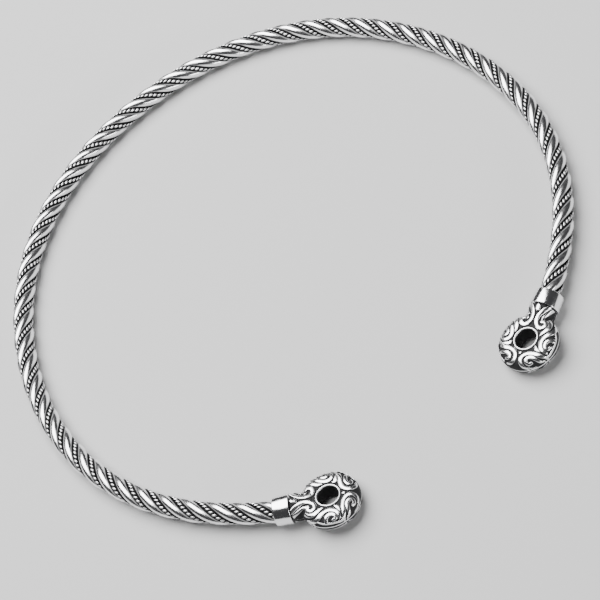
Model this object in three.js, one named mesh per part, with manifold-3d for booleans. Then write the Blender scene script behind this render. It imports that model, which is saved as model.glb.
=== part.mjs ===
// Silver neck torc: an open hoop of three thick and three fine wires twisted into a rope,
// a plain collar at each end, and a ring terminal carved with scrolls beyond each collar.
// Millimetres, +Z up. The torc lies on its side on z = 0, with its opening towards -Y.

import * as THREE from 'three';
import { mergeVertices } from 'three/addons/utils/BufferGeometryUtils.js';
import Module from 'manifold-3d';

// ---- The hoop -------------------------------------------------------------------------
const ROPE_RADIUS = 2.75;
const ROPE_LENGTH = 365; // along the middle of the rope, from collar to collar
const BEND_RADIUS = 72; // mean radius of the hoop
const BEND_RIPPLE = 0.09; // the hoop is flatter at its back, its sides and its ends
const END_EASE_LENGTH = 20; // the last stretch of rope is straighter still
const END_EASE_ANGLE = 3; // degrees by which that stretch turns less
const LAY = 20.7; // length of one right-handed turn of the rope
const STEPS_PER_TURN = 6;

// ---- The wires, seen in the rope's section ----------------------------------------------
const THICK_WIRE_RADIUS = 1.16;
const THICK_WIRE_SIDES = 6;
const FACET_SPREAD = 1.06; // the straight facets of a helix cut inside it, so it starts wider
const THICK_WIRE_ORBIT = FACET_SPREAD * (ROPE_RADIUS - THICK_WIRE_RADIUS);
const FINE_WIRE_RADIUS = 0.46;
const FINE_WIRE_SIDES = 3;
const FINE_WIRE_ORBIT = FACET_SPREAD * 2.18;
const STRANDS = 3;
const WIRE_START = 30 - (360 * 1.5) / LAY; // degrees, first fine wire at the back of the hoop

// ---- The collars ------------------------------------------------------------------------
const COLLAR_LENGTH = 4;
const COLLAR_ROPE_RADIUS = 3.52; // the collar widens a little towards the terminal
const COLLAR_NECK_RADIUS = 3.75;
const COLLAR_EDGE = 0.25;
const SOCKET_RADIUS = 3.15;
const SOCKET_DEPTH = 2.2;
const COLLAR_SEGMENTS = 20;
const COLLAR_REST = 3.7; // height of its middle at the rope, so a small flat is cut under it
const END_LEAN = 8; // degrees by which collar and terminal lean to the inside of the hoop
const END_DROOP = 2; // degrees by which they also dip away from the rope
const TERMINAL_TURN = 8; // degrees by which each terminal dips at the inside of the hoop

// ---- The terminals, measured from the centre of the ring ----------------------------------
const GAP = 0.3; // room between pieces that meet
const RING_DISTANCE = 13.3; // from the rope side of the collar to the centre of the ring
const RING_RADIUS = 7.45;
const RING_EDGE_HALF = 0.5; // half the thickness of the ring at its outer edge
const RING_CROWN_HALF = 2.3; // half the thickness of the ring at its crown
const RING_CROWN_RADIUS = 4.8;
const HOLE_RADIUS = 2.6;
const HOLE_RIM_RADIUS = 3.1;
const HOLE_RIM_HALF = 2.2;
const RING_SEGMENTS = 20;
const NECK_START = COLLAR_LENGTH + GAP - RING_DISTANCE;
const NECK_END = -4;
const NECK_RADIUS = 3.55;
const NECK_WAIST_RADIUS = 3.45;
const NECK_SEGMENTS = 16;

// ---- The carving ---------------------------------------------------------------------------
const RIDGE_HEIGHT = 0.3;
const RIDGE_SINK = 0.25; // how far a ridge reaches into the face below it
const RIDGE_HALF_WIDTH = 0.42;
const RIDGE_FACET = 1.5; // length of one facet along a ridge
const CURL_STEP = 60; // degrees of a curl from one point to the next

const SILVER = { color: 0xc9cacb, roughness: 0.24, metalness: 1 };
const DARK_SILVER = { color: 0x8f9092, roughness: 0.4, metalness: 1 };

// Each scroll runs through a few points, x away from the rope and y to the inside of the hoop.
// Where it ends in a curl, that winds about its centre: [x, y, first radius, last radius,
// first angle, turn], with the angles in degrees.
const SCROLLS = [
  // the two that leave the neck and curl beside the hole, each with a leaf beside it
  { points: [[-8.6, -2.5], [-7, -1.4], [-5.4, -0.9]], curl: [-4.5, -2.2, 1.25, 0.7, 75, -290] },
  { points: [[-8.6, 1.7], [-7.2, 0.8], [-5.8, 0.5]], curl: [-4.75, 1.95, 1.3, 0.7, -85, 275] },
  { points: [[-8.6, -3.1], [-7.3, -2.7], [-6.2, -2.3]] },
  { points: [[-8.2, 3.1], [-7.3, 2.6], [-6.5, 2]] },
  // the outer side: a flame, a wave with a curl under it, and a wedge
  { points: [[-5.8, -3.8], [-4.2, -4.7], [-2.8, -4.2], [-1.6, -3.4]] },
  { points: [[-5, -5.4], [-3.3, -6], [-1.2, -4.7], [0.8, -4.3], [2.3, -5.6]] },
  { points: [[-0.9, -6.7], [0.2, -5.6], [1.4, -6], [1, -6.7]] },
  { points: [[1.6, -3.4], [2.7, -4.9]] },
  // the tip, outer side: a long hook and the short one inside it
  { points: [[3.3, -6.2], [3.5, -3.8], [4.1, -1.5], [5.6, -0.9], [6.8, -2.2]] },
  { points: [[4.7, -5.1], [4.6, -3.2], [5.5, -2.3], [6, -3.2]] },
  // the tip, inner side: the same pair again, a little straighter
  { points: [[3, 5.2], [3.1, 2.8], [4.1, 1.1], [5.8, 0.7], [6.7, 2]] },
  { points: [[4.4, 4.9], [4.4, 3], [5.4, 2.2]] },
  // the inner side: a flame, an arch with a curl under it, and a wedge
  { points: [[-5.2, 5], [-3.5, 4], [-1.6, 3.4]] },
  { points: [[-4, 5.9], [-2.3, 4.7], [-0.4, 3.95], [1, 4.7], [0.8, 6]] },
  { points: [[-2, 6.2], [-0.8, 5.1], [0, 5.8]] },
  { points: [[1.5, 3.4], [2.1, 4.8]] },
];

// ---- Helpers ------------------------------------------------------------------------------
const wasm = await Module();
wasm.setup();

const radians = THREE.MathUtils.degToRad;

// A line to sweep a section along. Its points, and the direction that the section's own x axis
// takes, are functions of t from 0 to 1, so the section never turns by itself.
class GuidedLine extends THREE.Curve {
  constructor(pointAt, outwardAt) {
    super();
    this.pointAt = pointAt;
    this.outwardAt = outwardAt;
  }

  getPoint(t) {
    return this.pointAt(t);
  }

  getSpacedPoints(divisions) {
    return this.getPoints(divisions);
  }

  computeFrenetFrames(segments) {
    const frames = { tangents: [], normals: [], binormals: [] };
    for (let i = 0; i <= segments; i++) {
      const t = i / segments;
      const tangent = this.getTangent(t);
      const outward = this.outwardAt(t);
      const normal = outward.addScaledVector(tangent, -outward.dot(tangent)).normalize();
      frames.tangents.push(tangent);
      frames.normals.push(normal);
      frames.binormals.push(tangent.clone().cross(normal));
    }
    return frames;
  }
}

function sweep(section, line, steps) {
  return new THREE.ExtrudeGeometry(section, { steps, bevelEnabled: false, extrudePath: line });
}

function polygon(sides, radius) {
  const points = [];
  for (let i = 0; i < sides; i++) {
    const angle = (2 * Math.PI * i) / sides;
    points.push(new THREE.Vector2(radius * Math.cos(angle), radius * Math.sin(angle)));
  }
  return new THREE.Shape(points);
}

// A lathe about the x axis, from a list of [radius, x].
function latheAlongX(profile, segments) {
  const points = profile.map(([radius, x]) => new THREE.Vector2(radius, x));
  return new THREE.LatheGeometry(points, segments).rotateZ(-Math.PI / 2);
}

function toSolid(geometry) {
  const bare = geometry.clone();
  bare.deleteAttribute('normal');
  bare.deleteAttribute('uv');
  const welded = mergeVertices(bare, 1e-4);
  const vertProperties = new Float32Array(welded.attributes.position.array);
  const triVerts = new Uint32Array(welded.index.array);
  return new wasm.Manifold(new wasm.Mesh({ numProp: 3, vertProperties, triVerts }));
}

function toGeometry(solid) {
  const mesh = solid.getMesh();
  const geometry = new THREE.BufferGeometry();
  geometry.setAttribute('position', new THREE.BufferAttribute(mesh.vertProperties, 3));
  geometry.setIndex(new THREE.BufferAttribute(mesh.triVerts, 1));
  return geometry;
}

// ---- The line of the hoop -------------------------------------------------------------------
// s runs along the middle of the rope, 0 at the back of the hoop and positive to the right.
const HALF_ROPE = ROPE_LENGTH / 2;

function heading(s) {
  const held = THREE.MathUtils.clamp(s, -HALF_ROPE, HALF_ROPE);
  const wave = (4 * Math.PI) / HALF_ROPE;
  const bend = (held - (BEND_RIPPLE / wave) * Math.sin(wave * held)) / BEND_RADIUS;
  const eased = Math.max(0, 1 - (HALF_ROPE - Math.abs(held)) / END_EASE_LENGTH);
  return bend - Math.sign(held) * radians(END_EASE_ANGLE) * eased * eased;
}

function hoopPoint(s) {
  const slices = 200;
  const ds = s / slices;
  const point = new THREE.Vector3();
  for (let i = 0; i < slices; i++) {
    const angle = heading((i + 0.5) * ds);
    point.x += Math.cos(angle) * ds;
    point.y -= Math.sin(angle) * ds;
  }
  return point;
}

function hoopFrame(s) {
  const angle = heading(s);
  const along = new THREE.Vector3(Math.cos(angle), -Math.sin(angle), 0);
  const up = new THREE.Vector3(0, 0, 1);
  return { along, up, side: along.clone().cross(up) };
}

// ---- Wires ------------------------------------------------------------------------------------
const WIRE_REACH = HALF_ROPE + SOCKET_DEPTH - 3 * GAP;
const WIRE_STEPS = Math.round(((2 * WIRE_REACH) / LAY) * STEPS_PER_TURN);

function makeWire(radius, sides, orbit, startAngle) {
  const place = (t) => (2 * t - 1) * WIRE_REACH;
  const pointAt = (t) => {
    const s = place(t);
    const angle = radians(startAngle) + (2 * Math.PI * s) / LAY;
    const { up, side } = hoopFrame(s);
    return hoopPoint(s)
      .addScaledVector(up, orbit * Math.cos(angle))
      .addScaledVector(side, orbit * Math.sin(angle));
  };
  const line = new GuidedLine(pointAt, (t) => hoopFrame(place(t)).up);
  return sweep(polygon(sides, radius), line, WIRE_STEPS);
}

// ---- Collars -----------------------------------------------------------------------------------
// x is 0 at the rope side of the collar and grows towards the terminal.

function makeCollar() {
  const profile = [
    [0, SOCKET_DEPTH],
    [SOCKET_RADIUS, SOCKET_DEPTH],
    [SOCKET_RADIUS, 0],
    [COLLAR_ROPE_RADIUS - COLLAR_EDGE, 0],
    [COLLAR_ROPE_RADIUS, COLLAR_EDGE],
    [COLLAR_NECK_RADIUS, COLLAR_LENGTH - COLLAR_EDGE],
    [COLLAR_NECK_RADIUS - COLLAR_EDGE, COLLAR_LENGTH],
    [0, COLLAR_LENGTH],
  ];
  return latheAlongX(profile, COLLAR_SEGMENTS);
}

// ---- Terminals ---------------------------------------------------------------------------------

// Half the thickness of the bare ring at a distance from its centre.
function ringHalf(radius) {
  const inside = radius < RING_CROWN_RADIUS;
  const reach = inside ? RING_CROWN_RADIUS : RING_RADIUS - RING_CROWN_RADIUS;
  const offset = Math.min(1, Math.abs(radius - RING_CROWN_RADIUS) / reach);
  return RING_EDGE_HALF + (RING_CROWN_HALF - RING_EDGE_HALF) * Math.sqrt(1 - offset * offset);
}

// The neck is round at the collar and gets as thin as the ring where it ends.
function neckFlattening(x) {
  const share = THREE.MathUtils.clamp((x - NECK_START) / (NECK_END - NECK_START), 0, 1);
  return 1 - (1 - RING_CROWN_HALF / NECK_RADIUS) * share;
}

function neckHalf(x, y) {
  if (x > NECK_END || Math.abs(y) > NECK_WAIST_RADIUS) return 0;
  return Math.sqrt(NECK_WAIST_RADIUS ** 2 - y * y) * neckFlattening(x);
}

function faceHeight(x, y) {
  const radius = Math.hypot(x, y);
  const onRing = radius < RING_RADIUS ? ringHalf(radius) : 0;
  return Math.max(onRing, neckHalf(x, y));
}

function makeRing() {
  const outer = [RING_CROWN_RADIUS, 6.2, 7].map((radius) => [radius, ringHalf(radius)]);
  const under = [6.4, RING_CROWN_RADIUS].map((radius) => [radius, -ringHalf(radius)]);
  const profile = [
    [HOLE_RADIUS, -HOLE_RIM_HALF],
    ...under.reverse(),
    [RING_RADIUS, -RING_EDGE_HALF],
    [RING_RADIUS, RING_EDGE_HALF],
    ...outer.reverse(),
    [HOLE_RIM_RADIUS, HOLE_RIM_HALF],
    [HOLE_RADIUS, HOLE_RIM_HALF],
    [HOLE_RADIUS, -HOLE_RIM_HALF],
  ];
  return latheAlongX(profile, RING_SEGMENTS).rotateY(-Math.PI / 2);
}

function makeNeck() {
  const waist = (NECK_START + NECK_END) / 2;
  const profile = [
    [0, NECK_START],
    [NECK_RADIUS, NECK_START],
    [NECK_WAIST_RADIUS, waist],
    [NECK_WAIST_RADIUS, NECK_END],
    [0, NECK_END],
  ];
  const neck = latheAlongX(profile, NECK_SEGMENTS);
  const position = neck.attributes.position;
  for (let i = 0; i < position.count; i++) {
    position.setZ(i, position.getZ(i) * neckFlattening(position.getX(i)));
  }
  return neck;
}

function scrollPath({ points, curl }) {
  const path = points.map(([x, y]) => new THREE.Vector3(x, y, 0));
  if (curl) {
    const [x, y, firstRadius, lastRadius, firstAngle, turn] = curl;
    const steps = Math.ceil(Math.abs(turn) / CURL_STEP);
    for (let i = 0; i <= steps; i++) {
      const angle = radians(firstAngle + (turn * i) / steps);
      const radius = THREE.MathUtils.lerp(firstRadius, lastRadius, i / steps);
      path.push(new THREE.Vector3(x + radius * Math.cos(angle), y + radius * Math.sin(angle), 0));
    }
  }
  return new THREE.CatmullRomCurve3(path);
}

function makeScroll(scroll) {
  const path = scrollPath(scroll);
  const pointAt = (t) => {
    const point = path.getPointAt(t);
    point.z = faceHeight(point.x, point.y) - RIDGE_SINK;
    return point;
  };
  const line = new GuidedLine(pointAt, () => new THREE.Vector3(0, 0, 1));
  const ridge = new THREE.Shape([
    new THREE.Vector2(RIDGE_HEIGHT + RIDGE_SINK, 0),
    new THREE.Vector2(0, RIDGE_HALF_WIDTH),
    new THREE.Vector2(0, -RIDGE_HALF_WIDTH),
  ]);
  return sweep(ridge, line, Math.max(2, Math.round(path.getLength() / RIDGE_FACET)));
}

function makeTerminal() {
  let solid = toSolid(makeRing()).add(toSolid(makeNeck()));
  for (const scroll of SCROLLS) solid = solid.add(toSolid(makeScroll(scroll)));
  return toGeometry(solid);
}

function mirrorSideways(geometry) {
  geometry.scale(1, -1, 1);
  const index = geometry.index;
  for (let i = 0; i < index.count; i += 3) {
    const second = index.getX(i + 1);
    index.setX(i + 1, index.getX(i + 2));
    index.setX(i + 2, second);
  }
  return geometry;
}

// ---- Assembly ----------------------------------------------------------------------------------
// Everything is made about the flat line of the hoop, then laid down on its three low points:
// the back of the rope and the flat under each collar.
const lieAngle = Math.asin((COLLAR_REST - ROPE_RADIUS) / -hoopPoint(HALF_ROPE).y);

function layDown(geometry) {
  return geometry.rotateX(-lieAngle).translate(0, 0, ROPE_RADIUS);
}

const torc = new THREE.Group();

function addPiece(name, geometry, look) {
  const mesh = new THREE.Mesh(geometry, new THREE.MeshStandardMaterial(look));
  mesh.name = name;
  torc.add(mesh);
}

for (let i = 0; i < STRANDS; i++) {
  const fineAngle = WIRE_START + (360 * i) / STRANDS;
  const thickAngle = fineAngle + 180 / STRANDS;
  const thick = makeWire(THICK_WIRE_RADIUS, THICK_WIRE_SIDES, THICK_WIRE_ORBIT, thickAngle);
  const fine = makeWire(FINE_WIRE_RADIUS, FINE_WIRE_SIDES, FINE_WIRE_ORBIT, fineAngle);
  addPiece(`thick_wire_${i + 1}`, layDown(thick), SILVER);
  addPiece(`fine_wire_${i + 1}`, layDown(fine), DARK_SILVER);
}

// The pieces of an end are made for the left one. The right one is its mirror image.
function placeEnd(geometry, side) {
  const level = toGeometry(toSolid(geometry));
  const leaning = level.rotateY(radians(END_DROOP)).rotateZ(radians(END_LEAN));
  const piece = side > 0 ? mirrorSideways(leaning) : leaning;
  const s = side * HALF_ROPE;
  const outward = hoopFrame(s).along.multiplyScalar(side);
  const end = hoopPoint(s);
  return layDown(piece.rotateZ(Math.atan2(outward.y, outward.x)).translate(end.x, end.y, 0));
}

const ground = toSolid(new THREE.BoxGeometry(400, 400, 10).translate(0, 0, -5));
for (const [name, side] of [['left', -1], ['right', 1]]) {
  const collar = toSolid(placeEnd(makeCollar(), side)).subtract(ground);
  addPiece(`${name}_collar`, toGeometry(collar), SILVER);
  const terminal = makeTerminal().rotateX(-radians(TERMINAL_TURN)).translate(RING_DISTANCE, 0, 0);
  addPiece(`${name}_terminal`, placeEnd(terminal, side), DARK_SILVER);
}

// The origin is under the middle of the whole torc.
const box = new THREE.Box3().setFromObject(torc);
const middle = box.getCenter(new THREE.Vector3());
torc.position.set(-middle.x, -middle.y, -box.min.z);
torc.updateMatrixWorld(true);

export default torc;
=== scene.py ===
"""Silver torc: the looks of every piece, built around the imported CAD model.

Lengths are in millimetres until a mesh is made. The shapes are worked out about the flat line of the
hoop, as the CAD pieces are, and then laid down as the torc lies: on the back of the rope and on the
undersides of the two collars.
"""
import math

import bpy
import numpy as np
from mathutils import Matrix, Vector


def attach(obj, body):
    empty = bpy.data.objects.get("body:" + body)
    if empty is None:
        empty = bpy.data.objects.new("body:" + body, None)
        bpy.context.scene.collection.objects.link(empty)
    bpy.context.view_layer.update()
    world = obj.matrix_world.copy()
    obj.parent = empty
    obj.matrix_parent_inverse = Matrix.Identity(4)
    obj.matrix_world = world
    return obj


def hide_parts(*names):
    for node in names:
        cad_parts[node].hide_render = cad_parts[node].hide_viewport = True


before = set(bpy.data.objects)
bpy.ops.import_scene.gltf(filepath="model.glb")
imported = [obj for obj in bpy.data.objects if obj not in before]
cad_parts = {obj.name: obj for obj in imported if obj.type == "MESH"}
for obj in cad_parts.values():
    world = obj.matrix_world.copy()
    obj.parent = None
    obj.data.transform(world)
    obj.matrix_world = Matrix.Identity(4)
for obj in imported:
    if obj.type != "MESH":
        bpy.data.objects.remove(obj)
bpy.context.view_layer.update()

MM = 0.001
TINY = 1e-6

# ---- Sizes of the hoop and the rope -----------------------------------------------------------
ROPE_RADIUS = 2.75
HALF_ROPE = 365 / 2
BEND_RADIUS = 72
BEND_RIPPLE = 0.09  # the hoop is flatter at its back, its sides and its ends
END_EASE_LENGTH = 20
END_EASE_ANGLE = math.radians(3)
LAY = 20.7  # length of one turn of the rope
STRANDS = 3
FINE_START = math.radians(30 - 360 * 1.5 / LAY)  # first fine wire at the back of the hoop
THICK_RADIUS = 1.22
THICK_ORBIT = ROPE_RADIUS - THICK_RADIUS
PAIR_ORBIT = 2.06
STRAND_RADIUS = 0.27
STRAND_LAY = 2.2  # length of one left-handed turn of two thin strands
WIRE_REACH = HALF_ROPE + 1.3  # a wire ends inside the collar

# ---- Sizes of the ends --------------------------------------------------------------------------
COLLAR_LENGTH = 4
COLLAR_ROPE_RADIUS = 3.52
COLLAR_NECK_RADIUS = 3.75
COLLAR_SOCKET_RADIUS = 2.9
COLLAR_SOCKET_DEPTH = 1.9
COLLAR_EDGE = 0.16
COLLAR_REST = 3.7  # height of its middle at the rope
END_LEAN = math.radians(8)
END_DROOP = math.radians(2)
TERMINAL_TURN = math.radians(8)
RING_DISTANCE = 13.3  # from the rope's end to the middle of the ring
RING_RADIUS = 7.45
RING_EDGE_HALF = 0.5
RING_CROWN_HALF = 2.45  # over the solid's, because the grooves go down from it
RING_CROWN_RADIUS = 4.8
HOLE_RADIUS = 2.6
HOLE_BEVEL = 0.12
HOLE_RIM = (2.85, 0.17)  # radius of the middle of the raised rim, and half its width
NECK_START = COLLAR_LENGTH + 0.3 - RING_DISTANCE
NECK_END = -4.0
NECK_RADIUS = 3.55
NECK_WAIST = 0.1
GROOVE_DEPTH = 0.34
BACK_GROOVE_DEPTH = 0.14
RIDGE_CROWN = 0.25  # how much higher a ridge's middle is than its sides, as a part of the depth
RIDGE_SIDE = 0.2  # how far a ridge's side reaches
HOOP_BACK = Vector((-0.03, 71.12, ROPE_RADIUS))  # the middle of the rope there, in the frame

# ---- How finely the pieces are made ---------------------------------------------------------------
LINE_STEP = 0.05
THICK_STEPS = 720
THICK_SIDES = 24
STEPS_PER_STRAND_LAY = 12
STRAND_SIDES = 8
COLLAR_SEGMENTS = 128
PHI_STEPS = 600
FACE_STEPS = 88
WALL_STEPS = 12


# ---- The line of the hoop ----------------------------------------------------------------------
def heading(s):
    """The angle that the hoop has turned through at s, which is 0 at its back."""
    held = np.clip(s, -HALF_ROPE, HALF_ROPE)
    wave = 4 * math.pi / HALF_ROPE
    bend = (held - BEND_RIPPLE / wave * np.sin(wave * held)) / BEND_RADIUS
    eased = np.maximum(0, 1 - (HALF_ROPE - np.abs(held)) / END_EASE_LENGTH)
    return bend - np.sign(held) * END_EASE_ANGLE * eased**2


line_s = np.arange(-HALF_ROPE - 10, HALF_ROPE + 10 + LINE_STEP, LINE_STEP)
line_heading = heading(line_s[:-1] + LINE_STEP / 2)
line_x = np.concatenate([[0], np.cumsum(np.cos(line_heading))]) * LINE_STEP
line_y = -np.concatenate([[0], np.cumsum(np.sin(line_heading))]) * LINE_STEP
line_x -= np.interp(0, line_s, line_x)
line_y -= np.interp(0, line_s, line_y)


def hoop(s):
    """Points on the hoop's line, and the directions along it, up and to its inside."""
    angle = heading(s)
    zero = np.zeros_like(s)
    point = np.stack([np.interp(s, line_s, line_x), np.interp(s, line_s, line_y), zero], -1)
    along = np.stack([np.cos(angle), -np.sin(angle), zero], -1)
    up = np.stack([zero, zero, zero + 1], -1)
    return point, along, up, np.cross(along, up)


rope_end_y = -np.interp(HALF_ROPE, line_s, line_y)
LIE_ANGLE = math.asin((COLLAR_REST - ROPE_RADIUS) / rope_end_y)
LAY_DOWN = Matrix.Translation(HOOP_BACK) @ Matrix.Rotation(-LIE_ANGLE, 4, "X")


def end_placement(side):
    """Turns the axes of a collar (x away from the rope, y to the inside, z up) into the hoop's."""
    point, along, up, inside = (v[0] for v in hoop(np.array([side * HALF_ROPE])))
    axes = Matrix((side * along, inside, up)).transposed().to_4x4()
    lean = Matrix.Rotation(END_LEAN, 4, "Z") @ Matrix.Rotation(END_DROOP, 4, "Y")
    return Matrix.Translation(Vector(point)) @ axes @ lean


# ---- Helpers for shapes ---------------------------------------------------------------------------
def unit(v):
    return v / np.linalg.norm(v, axis=-1, keepdims=True)


def without(v, direction):
    """v without its part along a unit direction."""
    return v - np.sum(v * direction, -1, keepdims=True) * direction


def smoothstep(low, high, x):
    t = np.clip((x - low) / (high - low), 0, 1)
    return t * t * (3 - 2 * t)


def grid_quads(rows, columns, close_rows=False, close_columns=False):
    """The quads of a grid of points, row after row, whose last row or column may join the first."""
    index = np.arange(rows * columns).reshape(rows, columns)
    if close_rows:
        index = np.vstack([index, index[:1]])
    if close_columns:
        index = np.hstack([index, index[:, :1]])
    corners = [index[:-1, :-1], index[:-1, 1:], index[1:, 1:], index[1:, :-1]]
    return np.stack([c.ravel() for c in corners], -1)


def tube(centres, outward, radius, sides):
    """Rings of points round a line of centres. The first point of each ring is the outward one."""
    along = unit(np.gradient(centres, axis=0))
    normal = unit(without(outward, along))
    binormal = np.cross(along, normal)
    angle = np.linspace(0, 2 * math.pi, sides, endpoint=False)[None, :, None]
    spokes = np.cos(angle) * normal[:, None] + np.sin(angle) * binormal[:, None]
    return centres[:, None] + radius * spokes


def close_ends(rings, wear_and_shade):
    """Closes a tube by a small dark ring at each end. Returns its points, quads and the wear and
    painted shade at each point.
    """
    count, sides, _ = rings.shape
    caps = []
    for last in (rings[0], rings[-1]):
        middle = last.mean(0)
        caps.append(middle + (last - middle) * 1e-3)
    points = np.concatenate([caps[0][None], rings, caps[1][None]]).reshape(-1, 3)
    dark = np.zeros((1, sides))
    wear_and_shade = np.concatenate([dark, wear_and_shade, dark]).ravel()
    return points, grid_quads(count + 2, sides, close_columns=True), wear_and_shade


def make_piece(name, node, slot, points, quads, wear_and_shade, placement=Matrix.Identity(4), flip=False):
    """A smooth-shaded piece from points in mm, with its wear and painted shade at each, that stands for
    a node.
    """
    world = np.array(LAY_DOWN @ placement)
    placed = (points @ world[:3, :3].T + world[:3, 3]) * MM
    if flip:
        quads = quads[:, ::-1]
    mesh = bpy.data.meshes.new(name)
    mesh.vertices.add(len(placed))
    mesh.vertices.foreach_set("co", placed.astype(np.float32).ravel())
    mesh.loops.add(quads.size)
    mesh.loops.foreach_set("vertex_index", quads.astype(np.int32).ravel())
    mesh.polygons.add(len(quads))
    mesh.polygons.foreach_set("loop_start", np.arange(0, quads.size, 4, dtype=np.int32))
    mesh.update(calc_edges=True)
    mesh.validate()
    mesh.shade_smooth()
    attribute = mesh.attributes.new("wear_and_shade", "FLOAT", "POINT")
    attribute.data.foreach_set("value", wear_and_shade.astype(np.float32).ravel())
    mesh.materials.append(finishes[slot])
    piece = bpy.data.objects.new(name, mesh)
    bpy.context.scene.collection.objects.link(piece)
    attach(piece, "root")
    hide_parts(node)


# ---- Materials ----------------------------------------------------------------------------------
BRIGHT_SILVER = (0.90, 0.90, 0.91, 1)
# The dark end of the silver: oxide in hollows, and painted shade down the sides of the wires.
OXIDE_AND_SHADE = (0.012, 0.012, 0.013, 1)
OXIDE_ROUGHNESS = 0.62
OXIDE_METALLIC = 0.15


def add_node(tree, kind, inputs, **settings):
    """A node whose inputs, by name or number, are linked to sockets or set to values."""
    node = tree.nodes.new(kind)
    for key, value in settings.items():
        setattr(node, key, value)
    for key, value in inputs.items():
        if isinstance(value, bpy.types.NodeSocket):
            tree.links.new(value, node.inputs[key])
        else:
            node.inputs[key].default_value = value
    return node


def add_noise(tree, scale, detail, roughness):
    place = add_node(tree, "ShaderNodeTexCoord", {}).outputs["Object"]
    inputs = {"Vector": place, "Scale": scale, "Detail": detail, "Roughness": roughness}
    return add_node(tree, "ShaderNodeTexNoise", inputs).outputs["Fac"]


def map_range(tree, value, to_low, to_high, low=0.0, high=1.0):
    inputs = {"Value": value, "From Min": low, "From Max": high, "To Min": to_low, "To Max": to_high}
    return add_node(tree, "ShaderNodeMapRange", inputs).outputs[0]


def silver(name, roughness, scratch_scale, grime=0.25):
    """Silver that is bright where the mesh's "wear_and_shade" is 1 and black where it is 0: oxide in
    hollows and grooves, and painted shade down the sides of the wires.
    """
    material = bpy.data.materials.new(name)
    material.use_nodes = True
    tree = material.node_tree
    shader = tree.nodes["Principled BSDF"]
    shader.inputs["Specular IOR Level"].default_value = 0.25

    wear_and_shade = add_node(tree, "ShaderNodeAttribute", {}, attribute_name="wear_and_shade").outputs["Fac"]
    spots = add_noise(tree, 900.0, 6.0, 0.65)
    uneven = add_node(tree, "ShaderNodeMath", {0: spots, 1: 0.5}, operation="SUBTRACT").outputs[0]
    inputs = {0: uneven, 1: grime, 2: wear_and_shade}
    worn_and_shaded = add_node(tree, "ShaderNodeMath", inputs, operation="MULTIPLY_ADD").outputs[0]
    polished_and_lit = map_range(tree, worn_and_shaded, 0.0, 1.0, low=0.25, high=0.7)
    # Mixes bright silver with black: oxide, and painted shade where the attribute darkens the wires'
    # sides.
    colour = add_node(tree, "ShaderNodeMix", {0: polished_and_lit}, data_type="RGBA")
    colour.inputs[6].default_value = OXIDE_AND_SHADE
    colour.inputs[7].default_value = BRIGHT_SILVER
    tree.links.new(colour.outputs[2], shader.inputs["Base Color"])
    metallic = map_range(tree, polished_and_lit, OXIDE_METALLIC, 1.0)
    tree.links.new(metallic, shader.inputs["Metallic"])

    scratches = add_noise(tree, scratch_scale, 8.0, 0.7)
    smeared = map_range(tree, scratches, roughness * 0.75, roughness * 1.35, low=0.3, high=0.7)
    rough = map_range(tree, polished_and_lit, OXIDE_ROUGHNESS, smeared)
    tree.links.new(rough, shader.inputs["Roughness"])
    inputs = {"Height": scratches, "Strength": 0.12, "Distance": 0.00002}
    bump = add_node(tree, "ShaderNodeBump", inputs)
    tree.links.new(bump.outputs[0], shader.inputs["Normal"])
    return material


finishes = {
    "wire_silver": silver("wire_silver", 0.2, 1600.0),
    "fine_wire_silver": silver("fine_wire_silver", 0.22, 2500.0),
    "collar_silver": silver("collar_silver", 0.14, 700.0, grime=0.1),
    "carved_silver": silver("carved_silver", 0.2, 1800.0),
}


# ---- The rope -----------------------------------------------------------------------------------
def helix(angle, orbit, steps):
    """The centres of a wire in the rope, its outward directions, and the rope's middle and line."""
    s = np.linspace(-WIRE_REACH, WIRE_REACH, steps)
    middle, along, up, inside = hoop(s)
    turn = (angle + 2 * math.pi * s / LAY)[:, None]
    outward = np.cos(turn) * up + np.sin(turn) * inside
    return middle + orbit * outward, outward, middle, along


def make_thick_wire(index):
    """A round wire, bright on its crest, painted darker down its sides as painted shade, and black with
    oxide where it goes down between the others.
    """
    angle = FINE_START + 2 * math.pi * (index - 1) / STRANDS + math.pi / STRANDS
    centres, outward, middle, along = helix(angle, THICK_ORBIT, THICK_STEPS)
    rings = tube(centres, outward, THICK_RADIUS, THICK_SIDES)
    reach = np.linalg.norm(without(rings - middle[:, None], along[:, None]), axis=-1)
    # Painted shade: the colour goes from bright silver at the crest to black down the wire's sides; the
    # black where the wires meet stands for oxide.
    points, quads, wear_and_shade = close_ends(rings, smoothstep(2.08, 2.68, reach))
    make_piece(f"wire_{index}", f"thick_wire_{index}", "wire_silver", points, quads, wear_and_shade)


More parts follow.
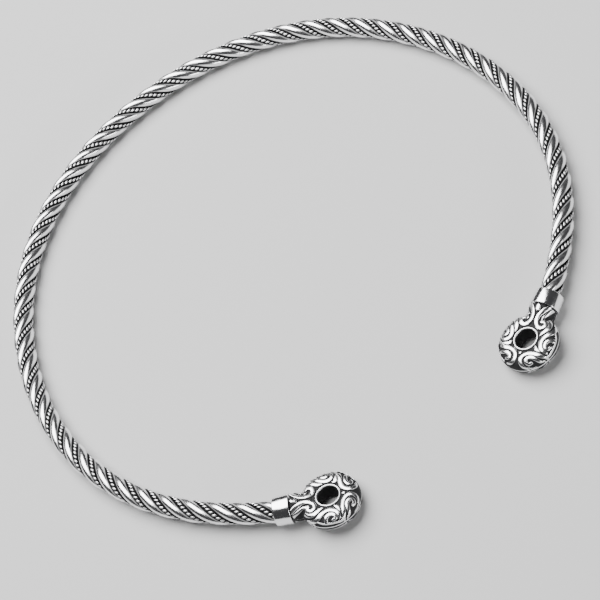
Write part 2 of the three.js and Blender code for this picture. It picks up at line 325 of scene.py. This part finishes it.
def make_fine_wire(index):
    """Two thin strands twisted together, left-handed, in the valley between two thick wires."""
    angle = FINE_START + 2 * math.pi * (index - 1) / STRANDS
    length = 2 * WIRE_REACH * math.hypot(1, 2 * math.pi * PAIR_ORBIT / LAY)
    steps = int(length / STRAND_LAY * STEPS_PER_STRAND_LAY)
    centres, outward, _, _ = helix(angle, PAIR_ORBIT, steps)
    along = unit(np.gradient(centres, axis=0))
    normal = unit(without(outward, along))
    binormal = np.cross(along, normal)
    run = np.concatenate([[0], np.cumsum(np.linalg.norm(np.diff(centres, axis=0), axis=1))])
    strands = []
    for start in (0, math.pi):
        turn = (start - 2 * math.pi * run / STRAND_LAY)[:, None]
        away = np.cos(turn) * normal + np.sin(turn) * binormal
        rings = tube(centres + STRAND_RADIUS * away, away, STRAND_RADIUS, STRAND_SIDES)
        standing_out = np.sum((rings - centres[:, None]) * normal[:, None], -1)
        # Painted shade: each strand is bright silver only where it stands out most and is painted dark
        # down its sides; the black between the strands stands for oxide.
        strands.append(close_ends(rings, smoothstep(0.3, 0.46, standing_out)))
    (first, first_quads, first_wear), (second, second_quads, second_wear) = strands
    points = np.concatenate([first, second])
    quads = np.concatenate([first_quads, second_quads + len(first)])
    wear_and_shade = np.concatenate([first_wear, second_wear])
    make_piece(f"twisted_pair_{index}", f"fine_wire_{index}", "fine_wire_silver", points, quads, wear_and_shade)


# ---- Collars --------------------------------------------------------------------------------------
def rounded(profile, radius, steps=5):
    """A line of (x, r) points with its inner corners rounded."""
    points = [np.array(profile[0], float)]
    for before, corner, after in zip(profile[:-2], profile[1:-1], profile[2:]):
        before, corner, after = (np.array(p, float) for p in (before, corner, after))
        reach = min(radius, np.linalg.norm(corner - before) / 2, np.linalg.norm(after - corner) / 2)
        start = corner + unit(before - corner) * reach
        end = corner + unit(after - corner) * reach
        for t in np.linspace(0, 1, steps):
            points.append((1 - t) ** 2 * start + 2 * t * (1 - t) * corner + t * t * end)
    points.append(np.array(profile[-1], float))
    return np.array(points)


def lathe(profile, segments):
    """Rings of points round the x axis from a line of (x, r) points."""
    angle = np.linspace(0, 2 * math.pi, segments, endpoint=False)[None, :]
    x, r = profile[:, :1], profile[:, 1:]
    return np.stack([x * np.ones_like(angle), r * np.cos(angle), r * np.sin(angle)], -1)


def make_collar(name, side):
    """A polished band, open towards the rope, with dark ends."""
    band = [
        (COLLAR_SOCKET_DEPTH, 0.01),
        (COLLAR_SOCKET_DEPTH, COLLAR_SOCKET_RADIUS),
        (0.0, COLLAR_SOCKET_RADIUS),
        (0.0, COLLAR_ROPE_RADIUS),
        (COLLAR_LENGTH / 2, (COLLAR_ROPE_RADIUS + COLLAR_NECK_RADIUS) / 2),
        (COLLAR_LENGTH, COLLAR_NECK_RADIUS),
        (COLLAR_LENGTH, 0.01),
    ]
    profile = rounded(band, COLLAR_EDGE)
    points = lathe(profile, COLLAR_SEGMENTS).reshape(-1, 3)
    quads = grid_quads(len(profile), COLLAR_SEGMENTS, close_columns=True)
    on_outside = profile[:, 1:] > COLLAR_ROPE_RADIUS - 0.22
    wear_and_shade = on_outside * np.ones(COLLAR_SEGMENTS)
    placement = end_placement(side)
    node = f"{name}_collar"
    make_piece(f"collar_{name}", node, "collar_silver", points, quads, wear_and_shade, placement, flip=side > 0)


# ---- Terminals -------------------------------------------------------------------------------------
# Each scroll is a line of (x, y, half width), x away from the rope and y to the inside of the hoop,
# from the centre of the ring.
SCROLLS = [
    # the two that leave the neck and curl beside the hole, each with a leaf beside it
    [(-8.9, -2.7, .3), (-7.6, -1.8, .42), (-6.2, -1.05, .42), (-4.7, -.95, .42), (-3.5, -1.7, .42),
     (-3.35, -2.8, .4), (-4.2, -3.5, .38), (-5.1, -3.0, .4), (-4.95, -2.35, .4)],
    [(-8.7, -3.3, .12), (-7.4, -2.8, .2), (-6.2, -2.25, .22), (-5.4, -2.3, .3)],
    [(-8.8, 1.9, .35), (-7.5, 1.0, .42), (-6.1, .5, .42), (-4.6, .75, .42), (-3.6, 1.7, .45),
     (-3.9, 2.8, .45), (-5.0, 3.15, .42), (-5.6, 2.4, .42), (-5.4, 1.7, .35)],
    [(-8.2, 3.3, .2), (-7.3, 2.65, .4), (-6.4, 1.9, .3)],
    [(-8.3, -.35, .5), (-7.8, -.35, .5)],
    # the outer side: a flame, a wave with a curl under it, and a wedge
    [(-5.8, -3.7, .25), (-4.9, -4.45, .4), (-3.8, -4.7, .45), (-2.9, -4.25, .45), (-2.2, -3.7, .4),
     (-1.4, -3.35, .15)],
    [(-5.1, -5.5, .3), (-3.9, -6.05, .42), (-2.8, -5.95, .45), (-2.0, -5.3, .45), (-1.2, -4.65, .45),
     (-.2, -4.25, .45), (.8, -4.35, .45), (1.7, -4.85, .42), (2.3, -5.6, .35), (2.5, -6.4, .25)],
    [(-.9, -7.0, .35), (-.6, -6.1, .4), (.2, -5.55, .4), (1.2, -5.75, .36), (1.5, -6.5, .3),
     (.8, -6.8, .25)],
    [(1.4, -3.3, .12), (2.2, -3.8, .4), (2.7, -4.9, .12)],
    # a line that follows the outer edge, and the short strokes beside it
    [(-2.9, -6.5, .08), (-1.7, -7.05, .15), (-.2, -7.28, .18), (1.3, -7.2, .2), (2.5, -6.95, .22),
     (3.3, -6.5, .25)],
    [(5.8, -4.7, .08), (6.3, -4.0, .16), (6.65, -3.3, .08)],
    [(-5.6, -4.9, .1), (-4.9, -5.5, .2), (-4.0, -6.3, .15)],
    # the tip: a long hook and a short one inside it, on either side of a bead
    [(3.3, -6.7, .25), (3.6, -5.2, .4), (3.5, -3.8, .42), (3.6, -2.5, .45), (4.1, -1.45, .45),
     (5.0, -.95, .42), (6.1, -1.05, .4), (6.85, -1.9, .35), (6.85, -3.0, .2)],
    [(4.0, -6.3, .12), (4.7, -5.5, .25), (4.6, -4.4, .36), (4.5, -3.3, .4), (5.0, -2.45, .4),
     (5.8, -2.45, .38), (6.1, -3.2, .34), (5.7, -3.8, .25)],
    [(3.75, -.2, .3), (3.85, -.2, .3)],
    [(2.9, 5.3, .3), (3.1, 4.0, .45), (3.1, 2.8, .45), (3.4, 1.8, .45), (4.1, 1.05, .42),
     (5.1, .65, .42), (6.1, .8, .4), (6.7, 1.5, .35), (6.7, 2.4, .2)],
    [(2.8, 4.5, .1), (2.5, 5.3, .2), (1.7, 6.2, .2), (.9, 6.9, .1)],
    [(2.4, 6.9, .1), (3.9, 6.1, .2), (5.3, 4.9, .2), (6.3, 3.5, .12)],
    [(4.5, 5.0, .25), (4.35, 4.0, .4), (4.4, 3.0, .42), (4.9, 2.25, .4), (5.6, 2.2, .36),
     (5.75, 2.9, .3)],
    # the inner side: a flame, an arch with a curl under it, and a wedge
    [(-1.3, 3.3, .12), (-2.4, 3.45, .4), (-3.5, 4.0, .48), (-4.6, 4.7, .48), (-5.4, 5.2, .3)],
    [(-4.1, 6.0, .3), (-3.1, 5.35, .4), (-2.3, 4.7, .42), (-1.4, 4.2, .42), (-.4, 3.95, .42),
     (.5, 4.15, .42), (1.05, 4.8, .4), (1.05, 5.6, .35), (.6, 6.3, .25)],
    [(-2.1, 6.5, .25), (-1.5, 5.6, .36), (-.8, 5.1, .36), (-.1, 5.3, .33), (-.1, 6.0, .3),
     (-.7, 6.4, .2)],
    [(1.3, 3.3, .15), (1.85, 3.6, .42), (2.1, 4.5, .3), (2.2, 5.4, .12)],
]


def smooth_line(points, steps=12):
    """A Catmull-Rom curve through points."""
    p = np.array(points, float)
    padded = np.vstack([2 * p[0] - p[1], p, 2 * p[-1] - p[-2]])
    t = np.linspace(0, 1, steps, endpoint=False)[:, None]
    pieces = []
    for a, b, c, d in zip(padded[:-3], padded[1:-2], padded[2:-1], padded[3:]):
        square = (2 * a - 5 * b + 4 * c - d) * t**2
        cube = (3 * b - a - 3 * c + d) * t**3
        pieces.append(0.5 * (2 * b + (c - a) * t + square + cube))
    return np.vstack(pieces + [p[-1:]])


def ring_half(r):
    """Half the ring's thickness: two quarter ellipses that meet at the crown."""
    reach = np.where(r < RING_CROWN_RADIUS, RING_CROWN_RADIUS, RING_RADIUS - RING_CROWN_RADIUS)
    offset = np.minimum(1, np.abs(r - RING_CROWN_RADIUS) / reach)
    return RING_EDGE_HALF + (RING_CROWN_HALF - RING_EDGE_HALF) * np.sqrt(1 - offset**2)


def neck_half(x, y):
    """Half the neck's thickness: round at the collar, and flattened to the ring's where it ends."""
    share = np.clip((x - NECK_START) / (NECK_END - NECK_START), 0, 1)
    flat = 1 - (1 - RING_CROWN_HALF / NECK_RADIUS) * share
    wide = NECK_RADIUS - NECK_WAIST * np.sin(math.pi * np.minimum(share * 1.2, 1))
    return np.where(x < NECK_END, np.sqrt(np.maximum(0, wide**2 - y**2)) * flat, 0)


def soft_max(a, b, blend=0.35):
    h = np.clip(0.5 + 0.5 * (a - b) / blend, 0, 1)
    return b * (1 - h) + a * h + blend * h * (1 - h)


def outline(phi):
    """Distance from the ring's centre to the terminal's edge, ring or neck."""
    on_neck_side = np.cos(phi) < -0.5
    to_end = NECK_START / np.minimum(np.cos(phi), -0.1)
    to_side = NECK_RADIUS * 0.985 / np.maximum(np.abs(np.sin(phi)), 1e-3)
    neck = np.where(on_neck_side, np.minimum(to_end, to_side), 0)
    return np.maximum(RING_RADIUS, neck)


# How much further the ring's edge is along its domed face than straight across.
face_r = np.linspace(RING_CROWN_RADIUS, RING_RADIUS, 400)
face_run = np.hypot(np.diff(face_r), np.diff(ring_half(face_r)))
face_extra = np.concatenate([[0], np.cumsum(face_run)]) - (face_r - RING_CROWN_RADIUS)


def on_face(x, y):
    """Moves points outward, so that distances between them are those along the domed ring."""
    r = np.maximum(np.hypot(x, y), TINY)
    on_ring = 1 - smoothstep(0.6, 0.85, -x / r)
    stretch = 1 + on_ring * np.interp(r, face_r, face_extra) / r
    return x * stretch, y * stretch


def carving(x, y):
    """How far each point is outside the nearest ridge, and that ridge's half width."""
    rim_radius, rim_half = HOLE_RIM
    away = np.abs(np.hypot(x, y) - rim_radius) - rim_half
    width = np.full(x.shape, rim_half)
    face_x, face_y = on_face(x, y)
    for scroll in SCROLLS:
        scroll_x, scroll_y, halves = smooth_line(scroll).T
        for px, py, half in zip(*on_face(scroll_x, scroll_y), halves):
            d = np.hypot(face_x - px, face_y - py) - half
            width = np.where(d < away, half, width)
            away = np.minimum(d, away)
    return away, width


def terminal_face(steps, groove_depth):
    """One face of the terminal as a grid of points from the hole to the edge, with its wear."""
    phi = np.linspace(0, 2 * math.pi, PHI_STEPS, endpoint=False)[None, :]
    share = np.sin(np.linspace(0, 1, steps) * math.pi / 2)[:, None]  # finest at the edge
    edge = outline(phi)
    r = HOLE_RADIUS + (edge - HOLE_RADIUS) * share
    x, y = r * np.cos(phi), r * np.sin(phi)
    on_ring = np.where(r <= RING_RADIUS, ring_half(np.minimum(r, RING_RADIUS)), 0)
    half = soft_max(on_ring, neck_half(x, y))
    half_at_edge = np.where(r <= RING_RADIUS + TINY, RING_EDGE_HALF, 0)
    half = np.where(r >= edge - TINY, half_at_edge, half)
    away, width = carving(x, y)
    crown = np.sqrt(np.clip(-away / width, 0, 1))
    relief = groove_depth * (RIDGE_CROWN * crown - smoothstep(0, RIDGE_SIDE, away))
    past_bevel = smoothstep(HOLE_RADIUS, HOLE_RADIUS + HOLE_BEVEL, r)
    relief = relief * past_bevel - HOLE_BEVEL * (1 - past_bevel)
    wear_and_shade = 1 - smoothstep(-0.06, 0.14, away)
    return np.stack([x, y, np.maximum(half + relief, 0.02)], -1), wear_and_shade


def make_terminal(name, side):
    """A ring and its neck: a carved top, a plainer back, dark walls and a bright line at the edge."""
    top, top_wear = terminal_face(FACE_STEPS, GROOVE_DEPTH)
    back, back_wear = terminal_face(FACE_STEPS // 2, BACK_GROOVE_DEPTH)
    back[..., 2] *= -1
    down = np.linspace(0, 1, WALL_STEPS + 2)[1:-1, None]
    edge_wall = top[-1:] * (1 - down[..., None]) + back[-1:] * down[..., None]
    hole_wall = back[:1] * (1 - down[..., None]) + top[:1] * down[..., None]
    # The edge wall is coloured dark with a bright band along its middle, and the hole wall is coloured
    # dark.
    bright_line = 1 - smoothstep(0.16, 0.3, np.abs(down - 0.42))
    edge_wall_tone = bright_line * np.ones(PHI_STEPS)
    hole_wall_tone = np.zeros((WALL_STEPS, PHI_STEPS))
    rings = np.concatenate([top, edge_wall, back[::-1], hole_wall])
    wear_and_shade = np.concatenate([top_wear, edge_wall_tone, back_wear[::-1], hole_wall_tone])
    points = rings.reshape(-1, 3)
    quads = grid_quads(len(rings), PHI_STEPS, close_rows=True, close_columns=True)
    turn = Matrix.Translation((RING_DISTANCE, 0, 0)) @ Matrix.Rotation(-TERMINAL_TURN, 4, "X")
    placement = end_placement(side) @ turn
    node = f"{name}_terminal"
    make_piece(f"terminal_{name}", node, "carved_silver", points, quads, wear_and_shade, placement, flip=side < 0)


# ---- Floor, light and camera -----------------------------------------------------------------------
def make_floor():
    size = 3.0
    corners = [(-size, -size, 0), (size, -size, 0), (size, size, 0), (-size, size, 0)]
    mesh = bpy.data.meshes.new("floor")
    mesh.from_pydata(corners, [], [(0, 1, 2, 3)])
    floor = bpy.data.objects.new("floor", mesh)
    bpy.context.scene.collection.objects.link(floor)
    material = bpy.data.materials.new("floor")
    material.use_nodes = True
    shader = material.node_tree.nodes["Principled BSDF"]
    shader.inputs["Base Color"].default_value = (0.58, 0.58, 0.58, 1)
    shader.inputs["Roughness"].default_value = 0.75
    mesh.materials.append(material)


def make_world():
    """Dark surroundings, which the metal mirrors between the lights."""
    world = bpy.data.worlds.new("studio")
    world.use_nodes = True
    world.node_tree.nodes["Background"].inputs[0].default_value = (0.05, 0.05, 0.052, 1)
    bpy.context.scene.world = world


def add_light(name, place, size, watts):
    """A soft light, in metres, that looks at the middle of the torc."""
    light = bpy.data.lights.new(name, "AREA")
    light.shape = "RECTANGLE"
    light.size, light.size_y = size
    light.energy = watts
    lamp = bpy.data.objects.new(name, light)
    lamp.location = place
    lamp.rotation_euler = (-Vector(place)).to_track_quat("-Z", "Y").to_euler()
    bpy.context.scene.collection.objects.link(lamp)


def make_camera():
    """Looks down on the lying torc, at the angle and turn at which it was pictured."""
    target = Vector((-4.3, -15.5, 3.3)) * MM
    azimuth, elevation, roll = math.radians(7.1), math.radians(53.3), math.radians(32.3)
    distance = 480 * MM
    level = math.cos(elevation)
    direction = Vector((math.sin(azimuth) * level, math.cos(azimuth) * level, -math.sin(elevation)))
    camera = bpy.data.cameras.new("camera")
    camera.lens = 116.1
    camera.sensor_width = 36
    camera.clip_start = 0.01
    view = bpy.data.objects.new("camera", camera)
    aim = direction.to_track_quat("-Z", "Y").to_matrix().to_4x4() @ Matrix.Rotation(-roll, 4, "Z")
    view.matrix_world = Matrix.Translation(target - direction * distance) @ aim
    bpy.context.scene.collection.objects.link(view)
    bpy.context.scene.camera = view


for index in range(1, STRANDS + 1):
    make_thick_wire(index)
    make_fine_wire(index)
for name, side in (("left", -1), ("right", 1)):
    make_collar(name, side)
    make_terminal(name, side)

make_floor()
make_world()
add_light("overhead_softbox", (-0.08, 0.32, 0.74), (0.8, 0.8), 21)
add_light("front_strip", (0.25, -0.7, 0.22), (0.7, 0.1), 3)
make_camera()
